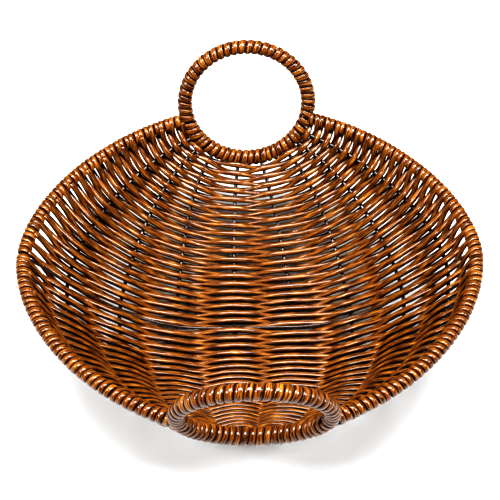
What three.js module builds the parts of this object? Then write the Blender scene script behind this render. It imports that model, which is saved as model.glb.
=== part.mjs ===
// Oval basket: strand woven on a welded wire frame, with a full-circle ring handle at each end.
// Millimetres, +Z up, +Y towards the back handle. The origin is under the middle of the base.

import * as THREE from 'three';

// Strand, as drawn: a little slimmer than the real 5 by 2.8 oval, so that each row stands clear of the next.
// It lies flat where it is wound. In the tight rows it is turned on edge, so there it is deeper, and on the rib
// next to a rim it is half-way between the two. Round a handle it goes on a thin lining, which is drawn with it
const strandWidth = 2.9;
const strandThickness = 2;
const handleStrandThickness = 2.6;
const wovenThickness = 3.6;
const outerWovenThickness = 2.3;
const strandClearance = 0.58;
const strandEndGap = 0.35;

// Frame wires
const weldGap = 0.3;
const slantShare = 0.45;
const handleWireRadius = 2.5;
const rimWireRadius = 2.5;
const ribWireRadius = 1.6;
const crossWireRadius = 1.2;

// Handle rings: each leans outwards, and its lower arc is the end of the bowl
const handleRadius = 52.5;
const handleTilt = THREE.MathUtils.degToRad(75);
const handleFootReach = 140;
const handleFootHeight = 64;
const rimJoinAngle = THREE.MathUtils.degToRad(75);

// Bowl
const rimHalfWidth = 174.5;
const rimHeight = 101;
const rimPlanPower = 1.8;
const baseFlatShare = 0.2;
const sideWallPower = 2.03;
const endWallPower = 1.66;

// Ribs: where they meet the handle rings, how far apart they stand at mid-length, and how far all of them lean
// to the right, as they do on the real, handmade basket
const ribAnchorAngles = [9.5, 33, 46, 57].map(THREE.MathUtils.degToRad);
const ribAnchorShift = THREE.MathUtils.degToRad(2);
const ribSpacing = 50;
const ribDrift = 12;

// Weave
const rowsPerSide = 40;
const rowsPerLength = 4;
const rowGapAtCrossWire = 6.6;
const coilGapAtCrossWire = 8.6;
const rowGapAtHandle = 9.85;
const coilGapAtHandle = 11.5;
const landingLength = 6;
const flatEnough = 0.22;

// Windings
const windingPitch = 6.4;
const weldSide = THREE.MathUtils.degToRad(30);
const windingStepsPerTurn = 6;
const rimTurns = 1.5;
const rimCoilSteps = 8;
const coilSlack = 0.05;
const coilLead = 0.15;

// Facets of the round wires
const ringSegments = 40;
const wireSides = 6;
const rimSegments = 26;
const ribSegments = 24;
const crossWireSegments = 18;

// Worked out from the values above
const seatOnRib = ribWireRadius + strandClearance + wovenThickness / 2;
const baseHeight = seatOnRib + wovenThickness / 2;
const coilRadius = (rimWireRadius + strandClearance + strandThickness / 2)
  / Math.cos(Math.PI * rimTurns / rimCoilSteps);
const windingRadius = (handleWireRadius + strandClearance + handleStrandThickness / 2)
  / Math.cos(Math.PI / windingStepsPerTurn);
const crossWireSeat = ribWireRadius + weldGap + crossWireRadius;

const strandMaterial = new THREE.MeshStandardMaterial({ color: 0x9a5520, roughness: 0.35, metalness: 0 });
const wireMaterial = new THREE.MeshStandardMaterial({ color: 0x241f1c, roughness: 0.45, metalness: 0.6 });

const basket = new THREE.Group();

function addPiece(name, geometry, material) {
  const piece = new THREE.Mesh(geometry, material);
  piece.name = name;
  basket.add(piece);
  return piece;
}

// A space curve given by a formula of t from 0 to 1
class FormulaCurve extends THREE.Curve {
  constructor(formula) {
    super();
    this.formula = formula;
    this.arcLengthDivisions = 400;
  }

  getPoint(t) {
    return this.formula(t);
  }
}

// Height of a wall as a share of its full height: flat in the middle, then rising along a power curve
function rise(share, power) {
  return (Math.max(0, share - baseFlatShare) / (1 - baseFlatShare)) ** power;
}

// A point on the centreline of a handle ring. The angle is counted from the ring's lowest point,
// and end is 1 for the back handle and -1 for the front one
function handlePoint(angle, end) {
  const up = handleRadius * (1 - Math.cos(angle));
  return new THREE.Vector3(
    handleRadius * Math.sin(angle),
    end * (handleFootReach + up * Math.cos(handleTilt)),
    baseHeight + handleFootHeight + up * Math.sin(handleTilt),
  );
}

// The bowl's section at mid-length, from the middle to the rim
const midSection = new FormulaCurve((t) => new THREE.Vector3(
  rimHalfWidth * t,
  0,
  baseHeight + rimHeight * rise(t, sideWallPower),
));
const midSectionLength = midSection.getLength();

// A line along the wall from the front handle to the back one. across is 0 in the middle and 1 or -1 at the rim,
// and every line has the plan of the rim, drawn in to end on the handle's arc
function makeWallLine(across) {
  const middle = midSection.getPointAt(Math.abs(across));
  const end = handlePoint(Math.abs(across) * rimJoinAngle, 1);
  const inset = middle.x > 0 ? 1 - (end.x / middle.x) ** rimPlanPower : 1;
  const planLength = end.y / inset ** (1 / rimPlanPower);
  return new FormulaCurve((t) => {
    const share = Math.abs(2 * t - 1);
    const bulge = (1 - (share * end.y / planLength) ** rimPlanPower) ** (1 / rimPlanPower);
    return new THREE.Vector3(
      Math.sign(across) * middle.x * bulge,
      (2 * t - 1) * end.y,
      middle.z + (end.z - middle.z) * rise(share, endWallPower),
    );
  });
}

const wallLines = new Map();

function wallLine(across) {
  const key = across.toFixed(6);
  if (!wallLines.has(key)) {
    wallLines.set(key, makeWallLine(Number(key)));
  }
  return wallLines.get(key);
}

// Where row number row crosses a wall line. Rows are at -39.5 to 39.5, counted from the cross wire towards the back,
// evenly spaced along the wall but for the gap at the cross wire
function alongWall(across, row) {
  const half = wallLine(across).getLength() / 2;
  const nearRim = Math.abs(across) ** 6;
  const endGap = THREE.MathUtils.lerp(rowGapAtHandle, coilGapAtHandle, nearRim);
  const middleGap = THREE.MathUtils.lerp(rowGapAtCrossWire, coilGapAtCrossWire, nearRim);
  const pitch = (half - endGap - middleGap / 2) / (rowsPerSide - 1);
  const count = Math.abs(row);
  const distance = count < 0.5 ? middleGap * count : middleGap / 2 + pitch * (count - 0.5);
  return Math.sign(row) * distance / half;
}

function wallPoint(across, row) {
  const along = THREE.MathUtils.clamp(alongWall(across, row), -1, 1);
  return wallLine(across).getPointAt((along + 1) / 2);
}

// The wall's axes at a point: outwards across the bowl, along it, and the normal that points into the bowl
function wallFrame(across, row) {
  const step = 0.004;
  const low = Math.max(-1, across - step);
  const high = Math.min(1, across + step);
  const sideways = wallPoint(high, row).sub(wallPoint(low, row)).normalize();
  const along = wallPoint(across, row + 0.5).sub(wallPoint(across, row - 0.5)).normalize();
  const normal = new THREE.Vector3().crossVectors(sideways, along).normalize();
  sideways.crossVectors(along, normal).normalize();
  return { point: wallPoint(across, row), sideways, along, normal };
}

// The rows reach the handle ring's centreline at about this row number
const lastRow = rowsPerSide - 0.5;

// Where a rib lies across the bowl at a row: it runs from its weld on the ring to its place at mid-length
function ribAcross(rib, row) {
  const side = rib < ribAnchorAngles.length ? -1 : 1;
  const place = side < 0 ? ribAnchorAngles.length - 1 - rib : rib - ribAnchorAngles.length;
  const atRing = (side * ribAnchorAngles[place] + ribAnchorShift) / rimJoinAngle;
  const share = Math.min(1, Math.abs(row) / lastRow);
  const spread = side * ribSpacing * (place + 0.5) / midSectionLength;
  const drift = ribDrift / midSectionLength * (1 - spread ** 6);
  return atRing + (spread + drift - atRing) * (1 - share ** 2);
}

const ribCount = 2 * ribAnchorAngles.length;

// Ribs: they run on past the last row and stop short of the rings by endTrim
function ribPoint(rib, share, endTrim) {
  const row = (2 * share - 1) * lastRow;
  const across = ribAcross(rib, row);
  const line = wallLine(across);
  const half = line.getLength() / 2;
  const rowsShare = Math.abs(alongWall(across, lastRow));
  const trimmed = 1 - endTrim / half;
  const stretch = alongWall(across, row) / rowsShare * trimmed;
  return line.getPointAt((THREE.MathUtils.clamp(stretch, -1, 1) + 1) / 2);
}

function ribCurve(rib, endTrim) {
  const curve = new FormulaCurve((t) => ribPoint(rib, t, endTrim));
  curve.arcLengthDivisions = 60;
  return curve;
}

// A closed body swept through stations, each with a centre, a flat normal and the strand's thickness
function strandGeometry(stations) {
  const positions = [];
  const faces = [];
  stations.forEach((station, index) => {
    const before = stations[Math.max(0, index - 1)].point;
    const after = stations[Math.min(stations.length - 1, index + 1)].point;
    const forward = station.forward ?? after.clone().sub(before).normalize();
    const wide = new THREE.Vector3().crossVectors(forward, station.up).normalize();
    const thick = new THREE.Vector3().crossVectors(wide, forward).normalize();
    for (const [side, lift] of [[1, 1], [-1, 1], [-1, -1], [1, -1]]) {
      const corner = station.point.clone()
        .addScaledVector(wide, side * strandWidth / 2)
        .addScaledVector(thick, lift * (station.thickness ?? strandThickness) / 2);
      positions.push(corner.x, corner.y, corner.z);
    }
  });
  const corners = 4;
  for (let ring = 0; ring < stations.length - 1; ring += 1) {
    for (let corner = 0; corner < corners; corner += 1) {
      const a = ring * corners + corner;
      const b = ring * corners + (corner + 1) % corners;
      faces.push(a, a + corners, b, b, a + corners, b + corners);
    }
  }
  const last = (stations.length - 1) * corners;
  faces.push(0, 1, 2, 0, 2, 3);
  faces.push(last, last + 2, last + 1, last, last + 3, last + 2);
  const geometry = new THREE.BufferGeometry();
  geometry.setAttribute('position', new THREE.Float32BufferAttribute(positions, 3));
  geometry.setIndex(faces);
  geometry.computeVertexNormals();
  return geometry;
}

function roundSection(radius) {
  const shape = new THREE.Shape();
  for (let side = 0; side < wireSides; side += 1) {
    const angle = 2 * Math.PI * side / wireSides;
    const corner = new THREE.Vector2(radius * Math.cos(angle), radius * Math.sin(angle));
    if (side === 0) {
      shape.moveTo(corner.x, corner.y);
    } else {
      shape.lineTo(corner.x, corner.y);
    }
  }
  shape.closePath();
  return shape;
}

function wireGeometry(curve, radius, steps) {
  return new THREE.ExtrudeGeometry(roundSection(radius), { steps, extrudePath: curve, bevelEnabled: false });
}

// Handle rings
function addHandleRing(name, end) {
  const geometry = new THREE.TorusGeometry(handleRadius, handleWireRadius, wireSides, ringSegments);
  const ring = addPiece(name, geometry, wireMaterial);
  ring.position.copy(handleFrame(end).centre);
  ring.rotation.x = end > 0 ? handleTilt : Math.PI - handleTilt;
}

// A handle ring's own axes: its centre, the way up in its plane, and its normal, which points into the bowl
function handleFrame(end) {
  const centre = handlePoint(0, end).add(handlePoint(Math.PI, end)).multiplyScalar(0.5);
  const upwards = new THREE.Vector3(0, end * Math.cos(handleTilt), Math.sin(handleTilt));
  const normal = new THREE.Vector3(0, -end * Math.sin(handleTilt), Math.cos(handleTilt));
  return { centre, upwards, normal };
}

// Where a wire welded to the back ring crosses the layer of windings: its angle round the ring, and the side of
// the ring's wire it comes in on
function makeWeld(line, radius) {
  const frame = handleFrame(1);
  const crossing = line.getPointAt(1 - windingRadius / line.getLength());
  const offset = crossing.sub(frame.centre);
  const angle = Math.atan2(offset.x, -offset.dot(frame.upwards));
  const outwards = handlePoint(angle, 1).sub(frame.centre).normalize();
  const side = Math.atan2(offset.dot(frame.normal), offset.dot(outwards) - handleRadius);
  return { angle, side, radius };
}

const welds = [makeWeld(wallLine(-1), rimWireRadius)];
for (let rib = 0; rib < ribCount; rib += 1) {
  welds.push(makeWeld(ribCurve(rib, 0), ribWireRadius));
}
welds.push(makeWeld(wallLine(1), rimWireRadius));

// The winding comes past a weld's side once a turn. These are the angles where it does: between two welds the
// turns are evenly spaced, and over each weld the winding parts to leave the wire clear
function windingAngles() {
  const halfRoom = (weld) => {
    const shift = windingPitch * Math.abs(weld.side - weldSide) / (2 * Math.PI);
    return (weld.radius * (1 + slantShare) + weldGap + strandWidth / 2 + shift) / (handleRadius + windingRadius);
  };
  const angles = [];
  welds.forEach((from, index) => {
    const to = welds[(index + 1) % welds.length];
    const start = from.angle + halfRoom(from);
    const finish = to.angle - halfRoom(to) + (index === welds.length - 1 ? 2 * Math.PI : 0);
    const turns = Math.floor((finish - start) * (handleRadius + windingRadius) / windingPitch);
    for (let turn = 0; turn <= turns; turn += 1) {
      angles.push(turns > 0 ? start + (finish - start) * turn / turns : (start + finish) / 2);
    }
  });
  return angles;
}

// Both windings are left-handed
function windingStations(end) {
  const angles = windingAngles();
  const frame = handleFrame(end);
  const stations = [];
  const steps = (angles.length - 1) * windingStepsPerTurn;
  for (let step = 0; step <= steps; step += 1) {
    const turn = Math.min(Math.floor(step / windingStepsPerTurn), angles.length - 2);
    const part = step / windingStepsPerTurn - turn;
    const angle = THREE.MathUtils.lerp(angles[turn], angles[turn + 1], part);
    const around = weldSide + end * 2 * Math.PI * step / windingStepsPerTurn;
    const outwards = handlePoint(angle, end).sub(frame.centre).normalize();
    const up = outwards.multiplyScalar(Math.cos(around)).addScaledVector(frame.normal, Math.sin(around));
    const point = handlePoint(angle, end).addScaledVector(up, windingRadius);
    stations.push({ point, up, thickness: handleStrandThickness });
  }
  return stations;
}

// Least clear space between one turn and the next, measured at every station
function leastTurnGap(stations) {
  let least = Infinity;
  for (let index = 0; index + windingStepsPerTurn < stations.length; index += 1) {
    const apart = stations[index].point.distanceTo(stations[index + windingStepsPerTurn].point);
    least = Math.min(least, apart - strandWidth);
  }
  return least;
}

function addHandleWinding(name, end) {
  const stations = windingStations(end);
  addPiece(name, strandGeometry(stations), strandMaterial);
  console.log(`${name}: least gap between turns ${leastTurnGap(stations).toFixed(2)} mm`);
}

// Rim wires: they stop a weld's gap short of the rings
function addRimWire(name, across) {
  const line = wallLine(across);
  const trim = (handleWireRadius + weldGap + slantShare * rimWireRadius) / line.getLength();
  const curve = new FormulaCurve((t) => line.getPointAt(trim + (1 - 2 * trim) * t));
  addPiece(name, wireGeometry(curve, rimWireRadius, rimSegments), wireMaterial);
}

function addRibWire(rib) {
  const curve = ribCurve(rib, handleWireRadius + weldGap + slantShare * ribWireRadius);
  addPiece(`rib_wire_${rib + 1}`, wireGeometry(curve, ribWireRadius, ribSegments), wireMaterial);
}

// Cross wire: on the inner side of the ribs, coming down to the rim wires at its ends
function addCrossWire() {
  const reach = 1 - (rimWireRadius + weldGap) / midSectionLength;
  const curve = new FormulaCurve((t) => {
    const across = (2 * t - 1) * reach;
    const frame = wallFrame(across, 0);
    const seat = crossWireSeat * Math.min(1, (1 - Math.abs(across)) * 10);
    return frame.point.addScaledVector(frame.normal, seat);
  });
  curve.arcLengthDivisions = 60;
  addPiece('cross_wire', wireGeometry(curve, crossWireRadius, crossWireSegments), wireMaterial);
}

// Weft: row 0 lies next to the back handle, and even rows run from left to right
function rowNumber(row) {
  return lastRow - row;
}

function runsRight(row) {
  return row % 2 === 0;
}

// Which side of a crossing the row passes: 1 inside the bowl and -1 outside. Crossing 0 is the left rim,
// 1 to ribCount are the ribs, and the last is the right rim
function passes(row, crossing) {
  return (row + crossing) % 2 === 0 ? 1 : -1;
}

function isRim(crossing) {
  return crossing === 0 || crossing === ribCount + 1;
}

function wovenDepth(crossing) {
  return crossing === 1 || crossing === ribCount ? outerWovenThickness : wovenThickness;
}

// Where a row crosses a rib or the rim, on the wall's own surface
function crossingAcross(row, crossing) {
  if (isRim(crossing)) {
    return crossing === 0 ? -1 : 1;
  }
  return ribAcross(crossing - 1, rowNumber(row));
}

function crossingPoint(row, crossing) {
  return wallPoint(crossingAcross(row, crossing), rowNumber(row));
}

// How far a row stands off a rib's centreline. Where the ribs are close together the row slopes more, and where it
// meets a rib at a slant its edges come nearer, so it stands off further
function rowSeat(row, crossing) {
  const here = crossingPoint(row, crossing);
  const slopes = [crossing - 1, crossing + 1].map((next) => {
    const drop = seatOnRib + (isRim(next) ? coilRadius : seatOnRib);
    return drop / crossingPoint(row, next).distanceTo(here);
  });
  const slope = Math.max(...slopes);
  const alongRib = crossingPoint(row - 0.5, crossing).sub(crossingPoint(row + 0.5, crossing)).normalize();
  const alongRow = crossingPoint(row, crossing + 1).sub(crossingPoint(row, crossing - 1)).normalize();
  const lean = Math.abs(alongRib.dot(alongRow));
  const skew = Math.sqrt(1 - lean ** 2);
  const ribReach = ribWireRadius * Math.hypot(1, slope / skew);
  const edgeReach = strandWidth / 2 * slope * lean / skew;
  return ribReach + edgeReach + (strandClearance + wovenDepth(crossing) / 2) * Math.hypot(1, slope);
}

// A row's stations, one at each rib. On the flat of the base, a row that passes under a rib has two, level with
// each other, and the basket stands on the flats between them
function rowStations(row) {
  const stations = [];
  const flip = runsRight(row) ? 1 : -1;
  for (let crossing = 1; crossing <= ribCount; crossing += 1) {
    const frame = wallFrame(crossingAcross(row, crossing), rowNumber(row));
    if (frame.point.z - baseHeight < flatEnough && passes(row, crossing) < 0) {
      const seat = frame.point.clone().setZ(baseHeight - seatOnRib);
      const sideways = frame.sideways.clone().setZ(0).normalize();
      for (const shift of [-landingLength / 2, landingLength / 2]) {
        stations.push({
          point: seat.clone().addScaledVector(sideways, shift),
          up: new THREE.Vector3(0, 0, flip),
          forward: sideways.clone().multiplyScalar(flip),
          thickness: wovenThickness,
        });
      }
    } else {
      const lift = passes(row, crossing) * rowSeat(row, crossing);
      const up = frame.normal.clone().multiplyScalar(flip);
      const point = frame.point.clone().addScaledVector(frame.normal, lift);
      stations.push({ point, up, thickness: wovenDepth(crossing) });
    }
  }
  return runsRight(row) ? stations : stations.reverse();
}

// How many rows the strand has moved on after some turns round the rim, counted from the row that it ends. Half-way
// round it is inside the bowl, where it stays close to its own row. So it clears the next row, and the turns that
// span the cross wire go over to its other side on the outside. On the other rim, the row after the cross wire
// comes in late to clear the wire's end. Near the handles rows meet the rim at a slant, so they come and go later
// or sooner there
function coilAdvance(row, turned) {
  const lead = coilLead * rowNumber(row) / lastRow;
  if (row === rowsPerSide) {
    return THREE.MathUtils.mapLinear(turned, 0, rimTurns, -coilSlack, 1 + lead);
  }
  return turned < rimTurns / 2
    ? THREE.MathUtils.mapLinear(turned, 0, rimTurns / 2, lead - 0.5, coilSlack)
    : THREE.MathUtils.mapLinear(turned, rimTurns / 2, rimTurns, coilSlack, 1 + lead);
}

// The turns round the rim between a row and the next: it comes in under the rim and leaves on the inner face
function rimStations(row) {
  const side = runsRight(row) ? 1 : -1;
  const stations = [];
  for (let step = 0; step <= rimCoilSteps; step += 1) {
    const turned = rimTurns * step / rimCoilSteps;
    const frame = wallFrame(side, rowNumber(row + coilAdvance(row, turned)));
    const around = Math.PI * (1.5 - 2 * turned);
    const inwards = frame.sideways.clone().multiplyScalar(-side);
    const outwards = inwards.multiplyScalar(Math.cos(around)).addScaledVector(frame.normal, Math.sin(around));
    const point = frame.point.addScaledVector(outwards, coilRadius);
    stations.push({ point, up: outwards.multiplyScalar(-side) });
  }
  return stations;
}

// The station on top of the rim, between the turns that end a row and the row after it
function joinStation(row) {
  const [before, top] = rimStations(row).slice(-2);
  const after = rowStations(row + 1)[0];
  return { ...top, forward: after.point.clone().sub(before.point).normalize() };
}

// One length begins where the last one ended, with a small gap between their ends
function addWeftStrand(length) {
  const first = length * rowsPerLength;
  const start = joinStation(first - 1);
  start.point.addScaledVector(start.forward, strandEndGap);
  const stations = [start];
  for (let row = first; row < first + rowsPerLength; row += 1) {
    stations.push(...rowStations(row), ...rimStations(row).slice(0, -1), joinStation(row));
  }
  const name = `weft_strand_${String(length + 1).padStart(2, '0')}`;
  addPiece(name, strandGeometry(stations), strandMaterial);
}

addHandleRing('handle_ring_back', 1);
addHandleRing('handle_ring_front', -1);
addRimWire('rim_wire_left', -1);
addRimWire('rim_wire_right', 1);
for (let rib = 0; rib < ribCount; rib += 1) {
  addRibWire(rib);
}
addCrossWire();
addHandleWinding('handle_winding_back', 1);
addHandleWinding('handle_winding_front', -1);
for (let length = 0; length < 2 * rowsPerSide / rowsPerLength; length += 1) {
  addWeftStrand(length);
}

export default basket;
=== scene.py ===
"""Woven basket with two ring handles: extruded strand on a painted wire frame.

Sizes are in millimetres, as on the part's own drawing, and each mesh is made in metres.
"""
import math

import bpy
import numpy as np
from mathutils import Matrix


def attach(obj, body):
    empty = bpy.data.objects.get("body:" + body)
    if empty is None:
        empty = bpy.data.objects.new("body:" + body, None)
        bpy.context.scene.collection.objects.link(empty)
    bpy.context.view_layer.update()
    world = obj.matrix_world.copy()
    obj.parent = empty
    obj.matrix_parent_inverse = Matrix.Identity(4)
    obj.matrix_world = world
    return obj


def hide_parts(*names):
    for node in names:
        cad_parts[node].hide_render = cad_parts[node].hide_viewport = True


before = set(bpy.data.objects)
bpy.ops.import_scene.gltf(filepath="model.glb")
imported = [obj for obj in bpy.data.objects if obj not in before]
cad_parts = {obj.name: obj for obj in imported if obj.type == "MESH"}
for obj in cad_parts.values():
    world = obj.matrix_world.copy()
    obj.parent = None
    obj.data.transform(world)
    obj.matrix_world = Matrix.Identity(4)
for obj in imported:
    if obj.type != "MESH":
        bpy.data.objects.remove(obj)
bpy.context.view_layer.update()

MM = 0.001

# Frame
HANDLE_RADIUS = 52.5
HANDLE_TILT = math.radians(75)
HANDLE_FOOT_REACH = 140
HANDLE_FOOT_HEIGHT = 64
RIM_JOIN_ANGLE = math.radians(75)
RIM_HALF_WIDTH = 174.5
RIM_HEIGHT = 101
RIM_PLAN_POWER = 1.8
BASE_HEIGHT = 5.78
BASE_FLAT_SHARE = 0.2
SIDE_WALL_POWER = 2.03
END_WALL_POWER = 1.66
HANDLE_WIRE_RADIUS = 2.5
RIM_WIRE_RADIUS = 2.5
RIM_WIRE_REACH = 0.985
RIB_WIRE_RADIUS = 1.6
CROSS_WIRE_RADIUS = 1.2
CROSS_WIRE_FALL = 10
WIRE_SIDES = 12
WIRE_STATIONS = 90
CROSS_WIRE_STATIONS = 120
HANDLE_STATIONS = 96

# Fineness of the tables that measure the bowl
SECTION_STATIONS = 801
WALL_LINES = 161
LINE_STATIONS = 321

# Ribs
RIB_ANCHOR_ANGLES = np.radians([9.5, 33, 46, 57])
RIB_ANCHOR_SHIFT = math.radians(2)
RIB_SPACING = 50
RIB_DRIFT = 12
RIB_DRIFT_POWER = 6
RIB_COUNT = 2 * len(RIB_ANCHOR_ANGLES)

# Weave
ROWS_PER_SIDE = 40
ROW_COUNT = 2 * ROWS_PER_SIDE
LAST_ROW = ROWS_PER_SIDE - 0.5
ROWS_PER_LENGTH = 4
ROW_GAP_AT_CROSS_WIRE = 6.6
COIL_GAP_AT_CROSS_WIRE = 5
ROW_GAP_AT_HANDLE = 8.9
COIL_GAP_AT_HANDLE = 6
NEAR_RIM_POWER = 6
COIL_LEAD = 0.15
COIL_SLACK = 0.05
RIM_TURNS = 1.5
RIM_PULL_ROWS = 1
BACK_LEAN_ROWS = 0.45
SIDE_LEAN_ROWS = 0.4
SPAN_STEPS = 10
COIL_STEPS_PER_TURN = 18

# Strand: an oval section that lies flat where it is wound, and is pressed nearly round between the
# rows of the weave
STRAND_GIRTH = 16
STRAND_ROUNDNESS = 2.1
STRAND_SIDES = 12
WOVEN_WIDTH = 5.2
INSIDE_THICKNESS = 4.4
OUTSIDE_THICKNESS = 4
PRESS_POWER = 1.5
SEAT_CLEARANCE = 0.05
COIL_WIDTH = 5.2
COIL_THICKNESS = 2.75
COIL_RADIUS = 4.35
COIL_FIT = 0.95

# Windings of the handle rings
HANDLE_COILS = 54
HANDLE_COIL_WIDTH = 6.3
HANDLE_COIL_THICKNESS = 3.1
HANDLE_COIL_RADIUS = 4.65
HANDLE_COIL_SWELL = 0.9
HANDLE_COIL_FIT = 0.97
HANDLE_COIL_START = math.radians(30)
RIM_WELD_ROOM = 4.4
RIB_WELD_ROOM = 3.5
# Far from the weave and from each other along the strand, so that no streaks repeat
HANDLE_RUN = 40000
HANDLE_RUNS_APART = 9000

# Unevenness of handwork, as standard deviations
ROW_SPREAD = 0.03
COIL_RADIUS_SPREAD = 0.06
COIL_WIDTH_SPREAD_SHARE = 0.02
HANDLE_COIL_ANGLE_SPREAD = 0.003
HANDLE_COIL_RADIUS_SPREAD_SHARE = 0.012
uneven = np.random.default_rng(7)

# Patterns, along the strand and round it: a streak is about 12 mm long and 0.7 mm wide, and a patch
# about 17 mm long and 5 mm wide. The orange peel of the paint has bumps about 1.5 mm across
STREAKS_PER_METRE = (80, 1400, 1)
PATCHES_PER_METRE = (60, 200, 1)
PEEL_PER_METRE = 650
STREAK_SHARE = 0.88
PATCH_SHARE = 0.12
# Painted shade along the two edges of the strand: nearly black up to the first of these distances from an edge,
# in mm, and its full colour from the second
PAINTED_SHADE_FROM = 0.5
PAINTED_SHADE_TO = 2.4
GROOVE_DEPTH = 0.2
PEEL_DEPTH = 0.1

# Camera
CAMERA_ELEVATION = math.radians(50.2)
CAMERA_YAW = math.radians(1.05)
CAMERA_DISTANCE = 850
CAMERA_AIM_HEIGHT = 110.3
CAMERA_LENS = 79.5
CAMERA_SENSOR = 36

# Studio, in metres and watts
FLOOR_REACH = 6.0
LIGHT_TARGET = (0, 0, 0.05)
LIGHT_COLOUR = "#f9fafd"
ROOM_LIGHT = 0.12


# Shape of the bowl

def length(vectors):
    return np.sqrt((vectors ** 2).sum(-1, keepdims=True))


def unit(vectors):
    return vectors / np.maximum(length(vectors), 1e-9)


def run_along(points):
    """Distance along a line of points, at each point."""
    return np.concatenate([[0], np.cumsum(length(np.diff(points, axis=0))[:, 0])])


def ease(share):
    """From 0 to 1, level at both ends."""
    return (1 - np.cos(np.pi * share)) / 2


def rise(share, power):
    """Height of a wall as a share of its full height: flat in the middle, then along a power curve."""
    return (np.maximum(0, share - BASE_FLAT_SHARE) / (1 - BASE_FLAT_SHARE)) ** power


def handle_point(angle, end):
    """A point on a ring's centreline, its angle counted from the lowest point; end is 1 for the back ring."""
    up = HANDLE_RADIUS * (1 - np.cos(angle))
    return np.stack([
        HANDLE_RADIUS * np.sin(angle),
        end * (HANDLE_FOOT_REACH + up * math.cos(HANDLE_TILT)),
        BASE_HEIGHT + HANDLE_FOOT_HEIGHT + up * math.sin(HANDLE_TILT),
    ], -1)


# Half of the bowl's middle section, from the base to the rim
section_share = np.linspace(0, 1, SECTION_STATIONS)
section_x = RIM_HALF_WIDTH * section_share
section_z = BASE_HEIGHT + RIM_HEIGHT * rise(section_share, SIDE_WALL_POWER)
section_run = np.concatenate([[0], np.cumsum(np.hypot(np.diff(section_x), np.diff(section_z)))])
SECTION_LENGTH = section_run[-1]


def wall_at(across, share):
    """A point of the wall: across is 0 in the middle and 1 or -1 at the rim, share runs from ring to ring."""
    out = np.maximum(np.abs(across), 1e-6)
    middle_x = np.interp(out * SECTION_LENGTH, section_run, section_x)
    middle_z = np.interp(out * SECTION_LENGTH, section_run, section_z)
    end = handle_point(out * RIM_JOIN_ANGLE, 1)
    inset = 1 - (end[..., 0] / middle_x) ** RIM_PLAN_POWER
    bulge = (1 - inset * np.abs(share) ** RIM_PLAN_POWER) ** (1 / RIM_PLAN_POWER)
    return np.stack([
        np.sign(across) * middle_x * bulge,
        share * end[..., 1],
        middle_z + (end[..., 2] - middle_z) * rise(np.abs(share), END_WALL_POWER),
    ], -1)


def measure_wall():
    """For lines across the wall, their half lengths and the shares that lie at even distances along them."""
    lines = np.linspace(0, 1, WALL_LINES)
    shares = np.linspace(0, 1, LINE_STATIONS)
    halves, evens = [], []
    for across in lines:
        run = run_along(wall_at(np.full_like(shares, across), shares))
        halves.append(run[-1])
        evens.append(np.interp(shares * run[-1], run, shares))
    return lines, np.array(halves), np.array(evens)


LINES, HALF_LENGTHS, EVEN_SHARES = measure_wall()


def along_wall(across, row):
    """How far along its line a row crosses it, from 0 at the cross wire to 1 or -1 at a ring."""
    half = np.interp(np.abs(across), LINES, HALF_LENGTHS)
    near_rim = np.abs(across) ** NEAR_RIM_POWER
    end_gap = ROW_GAP_AT_HANDLE + (COIL_GAP_AT_HANDLE - ROW_GAP_AT_HANDLE) * near_rim
    middle_gap = ROW_GAP_AT_CROSS_WIRE + (COIL_GAP_AT_CROSS_WIRE - ROW_GAP_AT_CROSS_WIRE) * near_rim
    pitch = (half - end_gap - middle_gap / 2) / (ROWS_PER_SIDE - 1)
    count = np.abs(row)
    distance = np.where(count < 0.5, middle_gap * count, middle_gap / 2 + pitch * (count - 0.5))
    return np.sign(row) * distance / half


def point_along(across, along):
    """A point of the wall, by how far along its line it lies."""
    line = np.abs(across) * (WALL_LINES - 1)
    station = np.abs(along) * (LINE_STATIONS - 1)
    i = np.minimum(line.astype(int), WALL_LINES - 2)
    j = np.minimum(station.astype(int), LINE_STATIONS - 2)
    di, dj = line - i, station - j
    low = EVEN_SHARES[i, j] * (1 - dj) + EVEN_SHARES[i, j + 1] * dj
    high = EVEN_SHARES[i + 1, j] * (1 - dj) + EVEN_SHARES[i + 1, j + 1] * dj
    return wall_at(across, np.sign(along) * (low * (1 - di) + high * di))


def wall_point(across, row):
    """A point of the wall, by its row: 0 is the cross wire, and rows count up to the back."""
    return point_along(across, np.clip(along_wall(across, row), -1, 1))


def wall_frame(across, row):
    """The wall's point and its directions: sideways, and the normal that points into the bowl."""
    aside, ahead = 0.012, 0.6
    right, left = np.minimum(1, across + aside), np.maximum(-1, across - aside)
    sideways = wall_point(right, row) - wall_point(left, row)
    along = wall_point(across, row + ahead) - wall_point(across, row - ahead)
    normal = unit(np.cross(sideways, along))
    return wall_point(across, row), unit(np.cross(along, normal)), normal


def rib_across(rib, row):
    """Where a rib lies across the bowl at a row."""
    side = -1 if rib < len(RIB_ANCHOR_ANGLES) else 1
    place = len(RIB_ANCHOR_ANGLES) - 1 - rib if side < 0 else rib - len(RIB_ANCHOR_ANGLES)
    at_ring = (side * RIB_ANCHOR_ANGLES[place] + RIB_ANCHOR_SHIFT) / RIM_JOIN_ANGLE
    spread = side * RIB_SPACING * (place + 0.5) / SECTION_LENGTH
    drift = RIB_DRIFT / SECTION_LENGTH * (1 - spread ** RIB_DRIFT_POWER)
    return at_ring + (spread + drift - at_ring) * (1 - np.minimum(1, np.abs(row) / LAST_ROW) ** 2)


# Meshes

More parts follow.
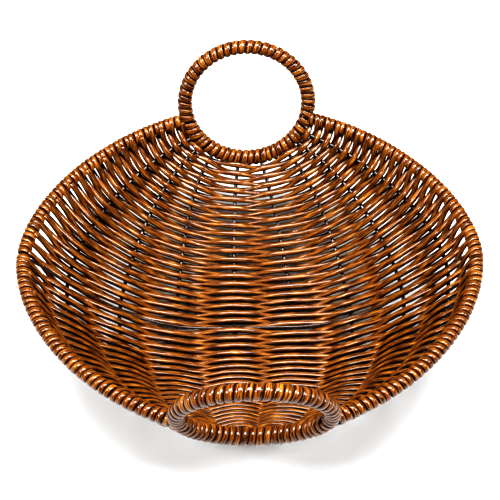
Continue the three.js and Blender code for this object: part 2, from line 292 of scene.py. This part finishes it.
def make_piece(name, points, faces, material, pattern=None):
    """A closed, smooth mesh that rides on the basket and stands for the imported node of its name.

    The pattern is each point's place along the strand and round it.
    """
    mesh = bpy.data.meshes.new(name)
    mesh.from_pydata((points * MM).tolist(), [], faces)
    mesh.polygons.foreach_set("use_smooth", [len(face) == 4 for face in faces])
    if pattern is not None:
        layer = mesh.uv_layers.new(name="strand")
        corners = np.empty(len(mesh.loops), int)
        mesh.loops.foreach_get("vertex_index", corners)
        layer.data.foreach_set("uv", (pattern * MM)[corners].ravel())
    mesh.materials.append(material)
    mesh.update()
    piece = bpy.data.objects.new(name, mesh)
    bpy.context.scene.collection.objects.link(piece)
    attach(piece, "root")
    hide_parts(name)


def sweep_faces(rings, sides, closed=False):
    """Faces of a tube, ring by ring; it is capped unless it closes on itself."""
    faces = []
    for ring in range(rings if closed else rings - 1):
        here, after = ring * sides, (ring + 1) % rings * sides
        for side in range(sides):
            beside = (side + 1) % sides
            faces.append((here + side, here + beside, after + beside, after + side))
    if not closed:
        faces.append(tuple(reversed(range(sides))))
        faces.append(tuple((rings - 1) * sides + side for side in range(sides)))
    return faces


def directions(centres, closed=False):
    """Which way a line of points runs, at each point."""
    ahead = np.roll(centres, -1, 0) - np.roll(centres, 1, 0)
    if not closed:
        ahead[0] = centres[1] - centres[0]
        ahead[-1] = centres[-1] - centres[-2]
    return unit(ahead)


def make_wire(name, centres, radius, material, closed=False):
    """A round wire along a line of points."""
    ahead = directions(centres, closed)
    # No wire runs straight along this direction
    sideways = unit(np.cross(ahead, [0.02, 0.03, 1]))
    up = np.cross(sideways, ahead)
    angle = np.linspace(0, 2 * np.pi, WIRE_SIDES, endpoint=False)
    ring = np.cos(angle)[None, :, None] * sideways[:, None] + np.sin(angle)[None, :, None] * up[:, None]
    points = (centres[:, None] + radius * ring).reshape(-1, 3)
    make_piece(name, points, sweep_faces(len(centres), WIRE_SIDES, closed), material)


def make_strand(name, route, ahead, material):
    """An oval strand through stations: each has a point, an up, a width, a thickness and a distance along it."""
    centres, ups = route[:, 0:3], route[:, 3:6]
    widths, thicknesses, run = route[:, 6], route[:, 7], route[:, 8]
    sideways = unit(np.cross(ahead, ups))
    ups = unit(np.cross(sideways, ahead))
    angle = np.linspace(0, 2 * np.pi, STRAND_SIDES, endpoint=False)
    flat = np.sign(np.cos(angle)) * np.abs(np.cos(angle)) ** (2 / STRAND_ROUNDNESS)
    tall = np.sign(np.sin(angle)) * np.abs(np.sin(angle)) ** (2 / STRAND_ROUNDNESS)
    ring = (widths[:, None, None] / 2 * flat[None, :, None] * sideways[:, None]
            + thicknesses[:, None, None] / 2 * tall[None, :, None] * ups[:, None])
    points = (centres[:, None] + ring).reshape(-1, 3)
    girth = np.abs(angle / np.pi - 1) * STRAND_GIRTH / 2
    pattern = np.column_stack([np.repeat(run, STRAND_SIDES), np.tile(girth, len(centres))])
    make_piece(name, points, sweep_faces(len(centres), STRAND_SIDES), material, pattern)


# Weave

def row_number(row):
    """Rows are made from the back ring to the front one, and numbered from the cross wire, up to the back."""
    return LAST_ROW - row


def row_pitch(across, row):
    """Distance from one row's middle to the next."""
    return length(wall_point(across, row + 0.5) - wall_point(across, row - 0.5))[..., 0]


def rim_place(row, turned):
    """Where the strand is along the rim, in rows, after some turns round it at the end of a row.

    The turns lie nearer to the back than their rows do, by RIM_PULL_ROWS at the cross wire and by none
    at the rings.
    """
    number = row_number(row)
    lead = COIL_LEAD * number / LAST_ROW
    past_cross_wire = row == ROWS_PER_SIDE + RIM_PULL_ROWS
    start = -COIL_SLACK if past_cross_wire else lead - 0.5
    inside = (start + 1 + lead) / 2 if past_cross_wire else COIL_SLACK
    pull = RIM_PULL_ROWS * max(0, 1 - (number / LAST_ROW) ** 2)
    return number + pull - np.interp(turned, [0, RIM_TURNS / 2, RIM_TURNS], [start, inside, 1 + lead])


def lean(rib, row):
    """Rows that a strand lies nearer to the back where it is over a rib, and to the front where under.

    The rows were beaten down hardest in the middle of the back wall, and pulled the other way at the sides.
    """
    to_side = (abs(rib - (RIB_COUNT - 1) / 2) - 0.5) / (RIB_COUNT / 2 - 1)
    to_end = abs(row) / LAST_ROW
    at_back = BACK_LEAN_ROWS * to_end * (1 - to_side) if row > 0 else 0
    return at_back - SIDE_LEAN_ROWS * (1 - to_end) * to_side


def row_places(row, order):
    """Where a row meets the rims and the ribs: across, row, height over the wall, width and thickness."""
    number = row_number(row)
    wander = uneven.normal(0, ROW_SPREAD, RIB_COUNT + 2)
    places = []
    for crossing in order:
        over = 1 if (row + crossing) % 2 == 0 else -1
        if crossing in (0, RIB_COUNT + 1):
            side = -1 if crossing == 0 else 1
            row_here = rim_place(row - 1, RIM_TURNS) if crossing == order[0] else rim_place(row, 0)
            places.append((side, row_here, over * COIL_RADIUS, COIL_WIDTH, COIL_THICKNESS))
        else:
            thickness = INSIDE_THICKNESS if over > 0 else OUTSIDE_THICKNESS
            seat = RIB_WIRE_RADIUS + thickness / 2 + SEAT_CLEARANCE
            row_here = number + wander[crossing] + over * lean(crossing - 1, number)
            places.append((rib_across(crossing - 1, number), row_here, over * seat, WOVEN_WIDTH, thickness))
    return places


def row_route(row):
    """One row, from the top of one rim, under and over the ribs, to the underside of the other rim."""
    runs_right = row % 2 == 0
    order = range(RIB_COUNT + 2) if runs_right else range(RIB_COUNT + 1, -1, -1)
    flip = 1 if runs_right else -1
    share = np.arange(SPAN_STEPS) / SPAN_STEPS
    bend = ease(share)
    near_crossing = np.abs(np.cos(np.pi * share)) ** PRESS_POWER
    places = row_places(row, order)
    stations = []
    for here, there in zip(places, places[1:]):
        across = here[0] + (there[0] - here[0]) * share
        rows, height, width, thickness = (here[i] + (there[i] - here[i]) * bend for i in range(1, 5))
        point, _, normal = wall_frame(across, rows)
        pressed = np.minimum(width, row_pitch(across, rows))
        width = pressed + (width - pressed) * near_crossing
        stations.append(np.column_stack([point + normal * height[:, None], normal * flip, width, thickness]))
    return np.concatenate(stations)


def rim_route(row):
    """The turns round the rim after a row, from below the rim to its top."""
    side = 1 if row % 2 == 0 else -1
    steps = round(RIM_TURNS * COIL_STEPS_PER_TURN)
    turned = RIM_TURNS * np.arange(steps) / steps
    across = np.full(steps, float(side))
    rows = rim_place(row, turned)
    point, sideways, normal = wall_frame(across, rows)
    # From three quarters round, which is straight below the rim wire
    around = np.pi * (1.5 - 2 * turned)
    radius = COIL_RADIUS - COIL_RADIUS_SPREAD * abs(uneven.normal())
    out = -side * sideways * np.cos(around)[:, None] + normal * np.sin(around)[:, None]
    evenness = 1 + COIL_WIDTH_SPREAD_SHARE * uneven.normal()
    width = np.minimum(COIL_WIDTH, COIL_FIT * row_pitch(across, rows)) * evenness
    return np.column_stack([point + out * radius, -side * out, width, np.full(steps, COIL_THICKNESS)])


def make_weft(material):
    """The woven strand, from the back ring to the front one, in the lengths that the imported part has."""
    routes = [part for row in range(ROW_COUNT) for part in (row_route(row), rim_route(row))]
    ends = np.cumsum([0] + [len(part) for part in routes])
    route = np.concatenate(routes)
    centres = route[:, 0:3]
    route = np.column_stack([route, run_along(centres)])
    ahead = directions(centres)
    for number in range(ROW_COUNT // ROWS_PER_LENGTH):
        first = ends[number * 2 * ROWS_PER_LENGTH]
        last = min(ends[(number + 1) * 2 * ROWS_PER_LENGTH] + 1, len(route))
        make_strand(f"weft_strand_{number + 1:02d}", route[first:last], ahead[first:last], material)


# Windings of the handle rings

def weld_spots():
    """Ring angles where the rim wires and the ribs are welded on, each with half the room that it needs."""
    ribs = [(rib_across(rib, LAST_ROW) * RIM_JOIN_ANGLE, RIB_WELD_ROOM) for rib in range(RIB_COUNT)]
    return [(-RIM_JOIN_ANGLE, RIM_WELD_ROOM)] + ribs + [(RIM_JOIN_ANGLE, RIM_WELD_ROOM)]


def coil_angles():
    """Ring angles of the coils: spaced evenly between welds, and a little wider over each weld."""
    welds = weld_spots()
    outer = HANDLE_RADIUS + HANDLE_COIL_RADIUS
    stretches = []
    for here, there in zip(welds, welds[1:] + [(welds[0][0] + 2 * np.pi, welds[0][1])]):
        stretches.append((here[0] + here[1] / outer, there[0] - there[1] / outer))
    free = sum(max(0, stop - start) for start, stop in stretches)
    pitch = free / (HANDLE_COILS - len(stretches))
    once_round = stretches[-1:] + [(start + 2 * np.pi, stop + 2 * np.pi) for start, stop in stretches[:-1]]
    angles = []
    for start, stop in once_round:
        count = max(0, round((stop - start) / pitch))
        angles += list(np.linspace(start, stop, count + 1)) if count else [(start + stop) / 2]
    return np.array(angles)


def make_winding(name, end, material):
    """The strand wound round a handle ring."""
    angles = coil_angles()
    angles[1:-1] += uneven.normal(0, HANDLE_COIL_ANGLE_SPREAD, len(angles) - 2)
    # Half a turn more ends at the weld where the winding began
    angles = np.append(angles, angles[0] + 2 * np.pi)
    coils = np.arange(len(angles))
    steps = round((len(angles) - 1.5) * COIL_STEPS_PER_TURN) + 1
    turn = np.arange(steps) / COIL_STEPS_PER_TURN
    angle = np.interp(turn, coils, angles)

    centre = (handle_point(0.0, end) + handle_point(math.pi, end)) / 2
    normal = np.array([0, -end * math.sin(HANDLE_TILT), math.cos(HANDLE_TILT)])
    middle = handle_point(angle, end)
    outwards = unit(middle - centre)
    around = HANDLE_COIL_START + end * 2 * np.pi * turn
    up = outwards * np.cos(around)[:, None] + normal * np.sin(around)[:, None]
    pull = np.interp(turn, coils, np.abs(uneven.normal(0, 1, len(angles))))
    tightness = 1 - HANDLE_COIL_RADIUS_SPREAD_SHARE * pull
    # The coils are thickest at the foot of the ring
    swell = HANDLE_COIL_SWELL * (1 + np.cos(angle)) / 2
    points = middle + up * (HANDLE_COIL_RADIUS * tightness + swell / 2)[:, None]

    gap = np.gradient(angles) * HANDLE_RADIUS
    room = np.interp(turn, coils, np.minimum(gap, HANDLE_COIL_WIDTH))
    width = room * (1 + HANDLE_COIL_RADIUS / HANDLE_RADIUS * np.cos(around)) * HANDLE_COIL_FIT
    run = run_along(points) + HANDLE_RUN + HANDLE_RUNS_APART * end
    route = np.column_stack([points, up, width, HANDLE_COIL_THICKNESS + swell, run])
    make_strand(name, route, unit(np.gradient(points, axis=0)), material)


# Wires

def make_frame_wires(material):
    """The two rings, the two halves of the rim, the ribs and the cross wire."""
    turn = np.linspace(0, 2 * np.pi, HANDLE_STATIONS, endpoint=False)
    make_wire("handle_ring_back", handle_point(turn, 1), HANDLE_WIRE_RADIUS, material, closed=True)
    make_wire("handle_ring_front", handle_point(turn, -1), HANDLE_WIRE_RADIUS, material, closed=True)

    along = np.linspace(-1, 1, WIRE_STATIONS)
    for name, side in (("rim_wire_left", -1.0), ("rim_wire_right", 1.0)):
        rim = point_along(np.full_like(along, side), along * RIM_WIRE_REACH)
        make_wire(name, rim, RIM_WIRE_RADIUS, material)

    rows = np.linspace(-LAST_ROW, LAST_ROW, WIRE_STATIONS)
    for rib in range(RIB_COUNT):
        across = rib_across(rib, rows)
        reach = along_wall(across, rows) / np.abs(along_wall(across, np.full_like(rows, LAST_ROW)))
        half = np.interp(np.abs(across), LINES, HALF_LENGTHS)
        wire = point_along(across, np.clip(reach * (1 - HANDLE_WIRE_RADIUS / half), -1, 1))
        make_wire(f"rib_wire_{rib + 1}", wire, RIB_WIRE_RADIUS, material)

    # The cross wire lies on the ribs, and comes down to the rim wire in the last tenth of each half
    across = np.linspace(-1, 1, CROSS_WIRE_STATIONS) * (1 - RIM_WIRE_RADIUS / SECTION_LENGTH)
    point, _, normal = wall_frame(across, np.zeros_like(across))
    seat = (RIB_WIRE_RADIUS + CROSS_WIRE_RADIUS) * np.minimum(1, (1 - np.abs(across)) * CROSS_WIRE_FALL)
    make_wire("cross_wire", point + normal * seat[:, None], CROSS_WIRE_RADIUS, material)


# Materials

def linear(hex_colour):
    """An sRGB hex colour as the linear colour that the shaders use."""
    channels = [int(hex_colour[i:i + 2], 16) / 255 for i in (1, 3, 5)]
    return tuple(c / 12.92 if c <= 0.04045 else ((c + 0.055) / 1.055) ** 2.4 for c in channels) + (1.0,)


def add_node(tree, kind, settings=None, **inputs):
    """Adds a node with its settings; an input is a value or another node's output, and _2 is the third one."""
    node = tree.nodes.new(kind)
    for name, value in (settings or {}).items():
        setattr(node, name, value)
    for name, value in inputs.items():
        socket = node.inputs[int(name[1:]) if name[0] == "_" else name.replace("_", " ")]
        if isinstance(value, bpy.types.NodeSocket):
            tree.links.new(value, socket)
        else:
            socket.default_value = value
    return node


def new_material(name):
    material = bpy.data.materials.new(name)
    material.use_nodes = True
    material.node_tree.nodes.clear()
    return material, material.node_tree


def finish_material(tree, shader):
    add_node(tree, "ShaderNodeOutputMaterial", Surface=shader.outputs["BSDF"])


def ramp(tree, factor, stops):
    """Colours along a factor, from its stops."""
    node = add_node(tree, "ShaderNodeValToRGB", Fac=factor)
    elements = node.color_ramp.elements
    while len(elements) < len(stops):
        elements.new(0.5)
    for element, (position, colour) in zip(elements, stops):
        element.position = position
        element.color = linear(colour)
    return node.outputs["Color"]


def strand_material():
    """Extruded polyethylene rattan: glossy caramel, with darker streaks that the die drew out along it."""
    material, tree = new_material("extruded polyethylene rattan")
    where = add_node(tree, "ShaderNodeUVMap", {"uv_map": "strand"}).outputs["UV"]
    streak_place = add_node(tree, "ShaderNodeMapping", Vector=where, Scale=STREAKS_PER_METRE)
    streaks = add_node(tree, "ShaderNodeTexNoise", {"noise_dimensions": "2D"},
                       Vector=streak_place.outputs["Vector"], Scale=1.0, Detail=3.0, Roughness=0.6)
    patch_place = add_node(tree, "ShaderNodeMapping", Vector=where, Scale=PATCHES_PER_METRE)
    patches = add_node(tree, "ShaderNodeTexNoise", {"noise_dimensions": "2D"},
                       Vector=patch_place.outputs["Vector"], Scale=1.0, Detail=2.0, Roughness=0.5)
    patch_part = add_node(tree, "ShaderNodeMath", {"operation": "MULTIPLY"},
                          _0=patches.outputs["Fac"], _1=PATCH_SHARE)
    tone = add_node(tree, "ShaderNodeMath", {"operation": "MULTIPLY_ADD"},
                    _0=streaks.outputs["Fac"], _1=STREAK_SHARE, _2=patch_part.outputs["Value"])
    caramel = ramp(tree, tone.outputs["Value"], [
        (0.36, "#170a05"), (0.43, "#3a1c05"), (0.50, "#5a3107"), (0.58, "#794711"), (0.68, "#946a2b")])

    # Painted shade: the two edges of the strand, half a girth apart, where it lies in the creases between its
    # neighbours, are painted nearly black
    girth = add_node(tree, "ShaderNodeSeparateXYZ", Vector=where).outputs["Y"]
    from_edge = add_node(tree, "ShaderNodeMath", {"operation": "PINGPONG"}, _0=girth, _1=STRAND_GIRTH * MM / 4)
    clear = add_node(tree, "ShaderNodeMapRange", {"interpolation_type": "SMOOTHSTEP"},
                     _0=from_edge.outputs["Value"], _1=PAINTED_SHADE_FROM * MM, _2=PAINTED_SHADE_TO * MM, _3=0.02, _4=1.0)
    caramel_with_painted_shade = add_node(tree, "ShaderNodeMix", {"data_type": "RGBA"},
                       _0=clear.outputs["Result"], _6=linear("#110704"), _7=caramel)
    # Painted shade also takes most of the coat off the two edges, so the creases show no reflection; the rest
    # has the smooth skin that the die leaves
    gloss = add_node(tree, "ShaderNodeMapRange", {"interpolation_type": "SMOOTHSTEP"},
                     _0=from_edge.outputs["Value"], _1=PAINTED_SHADE_FROM * MM, _2=PAINTED_SHADE_TO * MM, _3=0.05, _4=0.65)
    # All of its gloss is in the coat, so the strand below has less than bare polyethylene
    grooves = add_node(tree, "ShaderNodeBump",
                       Strength=0.2, Distance=GROOVE_DEPTH * MM, Height=streaks.outputs["Fac"])
    shader = add_node(tree, "ShaderNodeBsdfPrincipled",
                      Base_Color=caramel_with_painted_shade.outputs[2], Roughness=0.35, IOR=1.2, Normal=grooves.outputs["Normal"],
                      Coat_Weight=gloss.outputs["Result"], Coat_Roughness=0.12)
    finish_material(tree, shader)
    return material


def wire_material():
    """Drawn steel wire, dip-painted: near-black semi-gloss with a slight orange peel."""
    material, tree = new_material("dip-painted steel wire")
    where = add_node(tree, "ShaderNodeTexCoord").outputs["Object"]
    peel = add_node(tree, "ShaderNodeTexNoise", Vector=where, Scale=PEEL_PER_METRE, Detail=2.0)
    colour = ramp(tree, peel.outputs["Fac"], [(0.35, "#1c120c"), (0.65, "#38261a")])
    bump = add_node(tree, "ShaderNodeBump", Strength=0.15, Distance=PEEL_DEPTH * MM, Height=peel.outputs["Fac"])
    shader = add_node(tree, "ShaderNodeBsdfPrincipled", Base_Color=colour, Roughness=0.22, IOR=1.5,
                      Normal=bump.outputs["Normal"])
    finish_material(tree, shader)
    return material


def paper_material():
    """Matt white paper: hardly any gloss, and a pale grey that the softboxes light up to white."""
    material, tree = new_material("matt white paper")
    shader = add_node(tree, "ShaderNodeBsdfPrincipled", Base_Color=linear("#cfcfcd"), Roughness=0.9)
    finish_material(tree, shader)
    return material


# Studio

def make_floor():
    low, high = -FLOOR_REACH, FLOOR_REACH
    mesh = bpy.data.meshes.new("studio floor")
    mesh.from_pydata([(low, low, 0), (high, low, 0), (high, high, 0), (low, high, 0)], [], [(0, 1, 2, 3)])
    mesh.materials.append(paper_material())
    floor = bpy.data.objects.new("studio_floor", mesh)
    bpy.context.scene.collection.objects.link(floor)


def aim(thing, place, target):
    """Puts a lamp or a camera in its place, facing a target, with its top up."""
    thing.location = place
    direction = np.array(target) - np.array(place)
    yaw = math.atan2(-direction[0], direction[1])
    pitch = math.atan2(math.hypot(direction[0], direction[1]), -direction[2])
    thing.rotation_euler = (pitch, 0, yaw)


def make_softbox(name, place, size, power):
    data = bpy.data.lights.new(name, "AREA")
    data.color = linear(LIGHT_COLOUR)[:3]
    data.shape = "RECTANGLE"
    data.size, data.size_y = size
    data.energy = power
    light = bpy.data.objects.new(name, data)
    bpy.context.scene.collection.objects.link(light)
    aim(light, place, LIGHT_TARGET)


def make_studio():
    """A pale floor, a large softbox overhead that draws the long highlights, and a small one on each side."""
    make_floor()
    make_softbox("overhead softbox", place=(0, -0.05, 1.2), size=(0.9, 0.5), power=33)
    make_softbox("left softbox", place=(-0.85, -0.35, 1.0), size=(0.28, 0.28), power=12)
    make_softbox("right softbox", place=(0.85, -0.35, 1.0), size=(0.28, 0.28), power=12)
    world = bpy.data.worlds.new("white studio")
    bpy.context.scene.world = world
    world.use_nodes = True
    background = world.node_tree.nodes["Background"]
    background.inputs["Color"].default_value = linear("#ffffff")
    background.inputs["Strength"].default_value = ROOM_LIGHT
    bpy.context.scene.view_settings.view_transform = "Standard"
    bpy.context.scene.view_settings.look = "Very High Contrast"


def make_camera():
    data = bpy.data.cameras.new("camera")
    data.lens = CAMERA_LENS
    data.sensor_width = CAMERA_SENSOR
    data.clip_start, data.clip_end = 0.01, 50
    camera = bpy.data.objects.new("camera", data)
    bpy.context.scene.collection.objects.link(camera)
    target = np.array([0, 0, CAMERA_AIM_HEIGHT]) * MM
    level = math.cos(CAMERA_ELEVATION)
    back = np.array([-math.sin(CAMERA_YAW) * level, -math.cos(CAMERA_YAW) * level, math.sin(CAMERA_ELEVATION)])
    aim(camera, target + back * CAMERA_DISTANCE * MM, target)
    bpy.context.scene.camera = camera


make_camera()
make_studio()
rattan = strand_material()
painted_wire = wire_material()
make_frame_wires(painted_wire)
make_weft(rattan)
make_winding("handle_winding_back", 1, rattan)
make_winding("handle_winding_front", -1, rattan)
